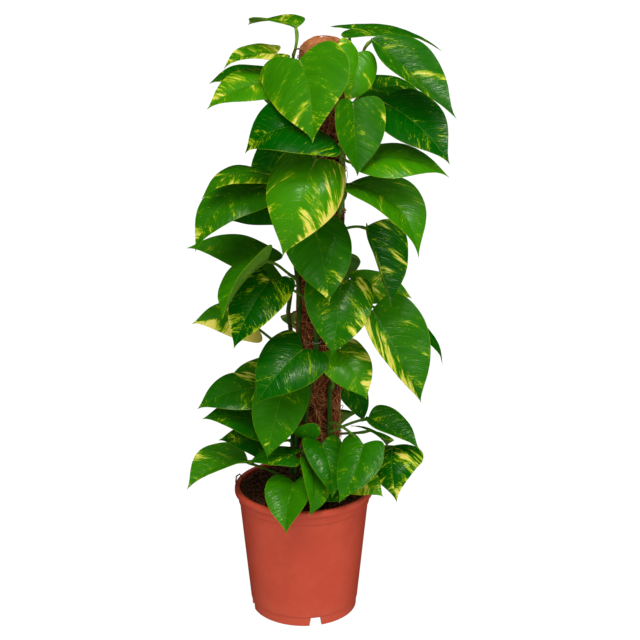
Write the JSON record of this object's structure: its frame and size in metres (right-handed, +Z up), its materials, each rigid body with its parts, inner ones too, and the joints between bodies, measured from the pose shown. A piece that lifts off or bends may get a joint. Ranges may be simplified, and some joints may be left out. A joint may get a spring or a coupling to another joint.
{
  "type": "potted golden pothos on a coir pole",
  "caption": "Golden pothos with heart-shaped variegated leaves, climbing a coir pole that stands in a round terracotta-coloured plastic pot filled with soil.",
  "frame": {"origin": "middle of the whole plant's footprint, on the ground under the pot; the pot's axis stands 16.8 mm to its left and 1.2 mm in front", "axes": "+Z up along the pole; +X to the right and -Y towards the viewer of the picture"},
  "size_m": [0.308, 0.2468, 0.7215],
  "materials": {
    "pot_plastic": "satin moulded polypropylene, terracotta colour",
    "soil": "crumbly dark potting soil of peat and bark",
    "stake_wood": "plain planed softwood",
    "coir": "rough matted coconut fibre",
    "staple_wire": "dull galvanised wire",
    "vine_stem": "satin green stem",
    "leaf": "glossy green, flecked and splashed with yellow and cream"
  },
  "bodies": {
    "root": {"pot": "pot_plastic", "soil": "soil", "core_stake": "stake_wood", "staple_low": "staple_wire", "staple_middle": "staple_wire", "staple_right": "staple_wire", "coir_sleeve": "coir", "vine_front_left": "vine_stem", "vine_front": "vine_stem", "vine_right": "vine_stem", "vine_left": "vine_stem", "vine_back": "leaf", "leaf_01": "leaf", "leaf_02": "leaf", "leaf_03": "leaf", "leaf_04": "leaf", "leaf_05": "leaf", "leaf_06": "leaf", "leaf_07": "leaf", "leaf_08": "leaf", "leaf_09": "leaf", "leaf_10": "leaf", "leaf_11": "leaf", "leaf_12": "leaf", "leaf_13": "leaf", "leaf_14": "leaf", "leaf_15": "leaf", "leaf_16": "leaf", "leaf_17": "leaf", "leaf_18": "leaf", "leaf_19": "leaf", "leaf_20": "leaf", "leaf_21": "leaf", "leaf_22": "leaf", "leaf_23": "leaf", "leaf_24": "leaf", "leaf_25": "leaf", "leaf_26": "leaf", "leaf_27": "leaf", "leaf_28": "leaf", "leaf_29": "leaf", "leaf_30": "leaf", "leaf_31": "leaf", "leaf_32": "leaf", "leaf_33": "leaf", "leaf_34": "leaf", "leaf_35": "leaf", "leaf_36": "leaf", "leaf_37": "leaf", "leaf_38": "leaf", "leaf_39": "leaf", "leaf_40": "leaf", "leaf_41": "leaf", "leaf_42": "leaf", "leaf_43": "leaf", "leaf_44": "leaf", "leaf_45": "leaf", "leaf_46": "leaf", "leaf_47": "leaf", "leaf_48": "leaf"}
  },
  "joints": []
}
